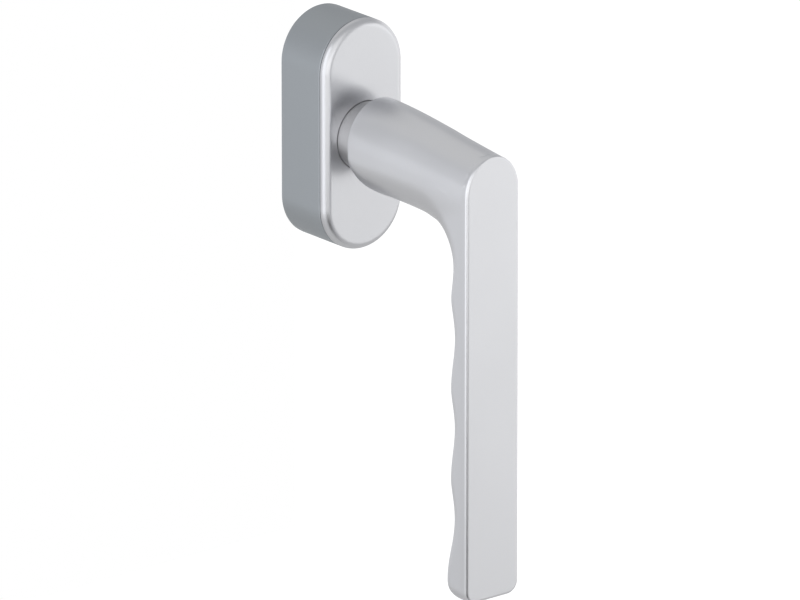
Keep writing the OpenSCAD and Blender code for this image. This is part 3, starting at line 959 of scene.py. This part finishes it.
def lifted(name, grey, lift, share):
    """A diffuse grey seen from the front and clear from behind.

    To the camera and to glossy and transmission rays, a share of it glows at the level lift."""
    material, tree = empty_material(name)
    nodes, links = tree.nodes, tree.links
    pale = nodes.new("ShaderNodeBsdfDiffuse")
    pale.inputs["Color"].default_value = (grey, grey, grey, 1)
    glow = nodes.new("ShaderNodeEmission")
    glow.inputs["Strength"].default_value = lift
    path = nodes.new("ShaderNodeLightPath")
    seen = math_node(tree, "ADD", path.outputs["Is Camera Ray"], path.outputs["Is Glossy Ray"])
    seen = math_node(tree, "ADD", seen, path.outputs["Is Transmission Ray"])
    front = nodes.new("ShaderNodeMixShader")
    links.new(math_node(tree, "MULTIPLY", seen, share), front.inputs["Fac"])
    links.new(pale.outputs[0], front.inputs[1])
    links.new(glow.outputs[0], front.inputs[2])
    both = nodes.new("ShaderNodeMixShader")
    side = nodes.new("ShaderNodeNewGeometry")
    links.new(side.outputs["Backfacing"], both.inputs["Fac"])
    links.new(front.outputs[0], both.inputs[1])
    links.new(nodes.new("ShaderNodeBsdfTransparent").outputs[0], both.inputs[2])
    out = nodes.new("ShaderNodeOutputMaterial")
    links.new(both.outputs[0], out.inputs["Surface"])
    return material


def panel(name, centre, towards, width, height, material):
    """A flat panel at centre whose front looks at the point towards."""
    select_none()
    bpy.ops.mesh.primitive_plane_add(size=1)
    board = bpy.context.object
    board.name = board.data.name = name
    turn = (Vector(towards) - Vector(centre)).to_track_quat("Z", "Y")
    for vert in board.data.vertices:
        corner = Vector((vert.co.x * width, vert.co.y * height, 0))
        vert.co = turn @ corner + Vector(centre)
    board.data.materials.append(material)
    return board


def standing(name, azimuth, distance, width, low, high, material):
    """A panel that stands near the handle: azimuth 0 is in front, and 90 to the right."""
    turn, middle = math.radians(azimuth), (low + high) / 2
    place = (distance * math.sin(turn), -distance * math.cos(turn), middle)
    return panel(name, place, (0, 0, middle), width, high - low, material)


def hide_from(thing, *rays):
    """Hides a stage object from these kinds of rays."""
    for ray in rays:
        setattr(thing, "visible_" + ray, False)


def build_surroundings(tent_level):
    """White to the camera, and a tent of even light that the camera doesn't see."""
    world = bpy.data.worlds.new("surroundings")
    world.use_nodes = True
    world.node_tree.nodes["Background"].inputs["Color"].default_value = (*WHITE, 1)
    bpy.context.scene.world = world
    select_none()
    bpy.ops.mesh.primitive_uv_sphere_add(segments=12, ring_count=6, radius=TENT_R)
    tent = bpy.context.object
    tent.name = tent.data.name = "light_tent"
    tent.data.materials.append(emitter("light_tent", tent_level, TENT_COLOUR))
    hide_from(tent, "camera")


def build_floor():
    """The pale floor, and a sheet over it that only reflections see."""
    floor = lifted("floor_pale", grey=0.85, lift=2.2, share=0.35)
    panel("floor", (0, 0, FLOOR_Z), (0, 0, 1), FLOOR_W, FLOOR_W, floor)
    shade = panel("floor_shade", (0, 0, FLOOR_Z + 0.01), (0, 0, 1), FLOOR_W, FLOOR_W,
                  emitter("floor_shade", 0.66))
    hide_from(shade, "camera", "diffuse", "shadow", "transmission")


def build_screw_card():
    """A white card that hides the screws and the spindle from the front and the left."""
    card = panel("screw_card", (-0.104, 0.4 * MM, 0), (-0.092, -1, 0), 0.192, 0.25,
                 lifted("card_white", grey=0.8, lift=1, share=1))
    hide_from(card, "glossy", "diffuse", "shadow")


def build_lights():
    """Soft panels around and above the handle, and two cards that only reflections see."""
    for name, azimuth, distance, width, low, high, strength, colour in SOFT_LIGHTS:
        light = emitter(name, strength, colour)
        hide_from(standing(name, azimuth, distance, width, low, high, light), "camera")
    top = panel("panel_top", (0, 1.1, 1.7), (0, 0, 0), 2.6, 1.4, emitter("panel_top", 0.75))
    hide_from(top, "camera")
    dark = standing("dark_card", -18, 0.5, 0.56, FLOOR_Z, -0.22, emitter("dark_card", 0.02))
    hide_from(dark, "camera", "diffuse", "shadow")
    card = panel("floor_card", (-0.1, 0.65, FLOOR_Z + 0.03), (-0.1, 0.65, 0), 1, 0.7,
                 emitter("floor_card", 0.59))
    hide_from(card, "camera", "diffuse", "shadow")


def place_camera(lens, scale):
    """The camera, far enough away that a metre at the handle is scale times the view's width."""
    turn, rise = math.radians(-AZIMUTH), math.radians(ELEVATION)
    right = Vector((math.cos(turn), -math.sin(turn), 0))
    ahead = Vector((math.sin(turn) * math.cos(rise), math.cos(turn) * math.cos(rise),
                    -math.sin(rise)))
    aim = right * AIM[0] + right.cross(ahead) * AIM[1] - ahead * AIM[2]
    bpy.ops.object.camera_add()
    camera = bpy.context.object
    camera.name = "camera"
    camera.data.lens = lens
    camera.data.sensor_width = SENSOR_W
    camera.data.clip_start = 0.01
    camera.location = aim - ahead * (lens / SENSOR_W / scale)
    camera.rotation_euler = ahead.to_track_quat("-Z", "Y").to_euler()
    bpy.context.scene.camera = camera


# ---- operators


class HANDLE_OT_grip(Operator):
    """Model the grip: neck, bend, lever with finger grooves and flat front face"""

    bl_idname = "handle.grip"
    bl_label = "Grip"

    def execute(self, context):
        build_grip(context.scene.handle_sizes, finish_of("satin_anodised"))
        return {"FINISHED"}


class HANDLE_OT_collar(Operator):
    """Model the collar between the neck and the cover"""

    bl_idname = "handle.collar"
    bl_label = "Collar"

    def execute(self, context):
        build_collar(finish_of("collar_anodised_painted_shade"))
        return {"FINISHED"}


class HANDLE_OT_cover(Operator):
    """Model the cover with its rounded edge and its tube"""

    bl_idname = "handle.cover"
    bl_label = "Cover"

    def execute(self, context):
        build_cover(context.scene.handle_sizes, finish_of("cover_anodised_painted_shade"))
        return {"FINISHED"}


class HANDLE_OT_housing(Operator):
    """Model the deep oblong housing"""

    bl_idname = "handle.housing"
    bl_label = "Housing"

    def execute(self, context):
        build_housing(context.scene.handle_sizes, finish_of("matt_anodised"))
        return {"FINISHED"}


class HANDLE_OT_fixings(Operator):
    """Model the threaded fixing screws and the lugs around them"""

    bl_idname = "handle.fixings"
    bl_label = "Fixings"

    def execute(self, context):
        build_fixing_screws(context.scene.handle_sizes, finish_of("zinc_plated"))
        build_lugs(finish_of("zinc_plated"))
        return {"FINISHED"}


class HANDLE_OT_drive(Operator):
    """Model the square spindle, the thrust washer and the snap ring"""

    bl_idname = "handle.drive"
    bl_label = "Drive"

    def execute(self, context):
        build_spindle(finish_of("zinc_plated"))
        build_washer(finish_of("turned_steel"))
        build_clip(finish_of("dark_steel"))
        return {"FINISHED"}


class HANDLE_OT_inner_finishes(Operator):
    """Give the pieces inside the rosette their finishes"""

    bl_idname = "handle.inner_finishes"
    bl_label = "Inner Finishes"

    def execute(self, context):
        for kind, nodes in CAD_FINISHES.items():
            for node in nodes:
                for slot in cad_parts[node].material_slots:
                    slot.material = finish_of(kind)
        return {"FINISHED"}


class HANDLE_OT_stage(Operator):
    """Set up the floor, the soft light, the card behind the rosette and the camera"""

    bl_idname = "handle.stage"
    bl_label = "Stage"

    def execute(self, context):
        stage = context.scene.handle_stage
        build_surroundings(stage.tent)
        build_floor()
        build_screw_card()
        build_lights()
        place_camera(stage.lens, stage.scale)
        context.scene.view_settings.view_transform = "Standard"
        return {"FINISHED"}


OPERATORS = (
    HANDLE_OT_stage,
    HANDLE_OT_grip,
    HANDLE_OT_collar,
    HANDLE_OT_cover,
    HANDLE_OT_housing,
    HANDLE_OT_fixings,
    HANDLE_OT_drive,
    HANDLE_OT_inner_finishes,
)


class HANDLE_PT_sidebar(Panel):
    """The handle's pieces, finishes and stage"""

    bl_idname = "HANDLE_PT_sidebar"
    bl_label = "Window Handle"
    bl_space_type = "VIEW_3D"
    bl_region_type = "UI"
    bl_category = "Window Handle"

    def draw(self, context):
        scene = context.scene
        for settings in (scene.handle_sizes, scene.handle_finishes, scene.handle_stage):
            column = self.layout.column()
            for name in settings.__annotations__:
                column.prop(settings, name)
        for operator in OPERATORS:
            self.layout.operator(operator.bl_idname)


CLASSES = (HandleSizes, HandleFinishes, HandleStage, *OPERATORS, HANDLE_PT_sidebar)


def register():
    for cls in CLASSES:
        bpy.utils.register_class(cls)
    bpy.types.Scene.handle_sizes = PointerProperty(type=HandleSizes)
    bpy.types.Scene.handle_finishes = PointerProperty(type=HandleFinishes)
    bpy.types.Scene.handle_stage = PointerProperty(type=HandleStage)


def unregister():
    del bpy.types.Scene.handle_stage
    del bpy.types.Scene.handle_finishes
    del bpy.types.Scene.handle_sizes
    for cls in reversed(CLASSES):
        bpy.utils.unregister_class(cls)


def main():
    register()
    for operator in OPERATORS:
        group, name = operator.bl_idname.split(".")
        getattr(getattr(bpy.ops, group), name)()


if __name__ == "__main__":
    main()
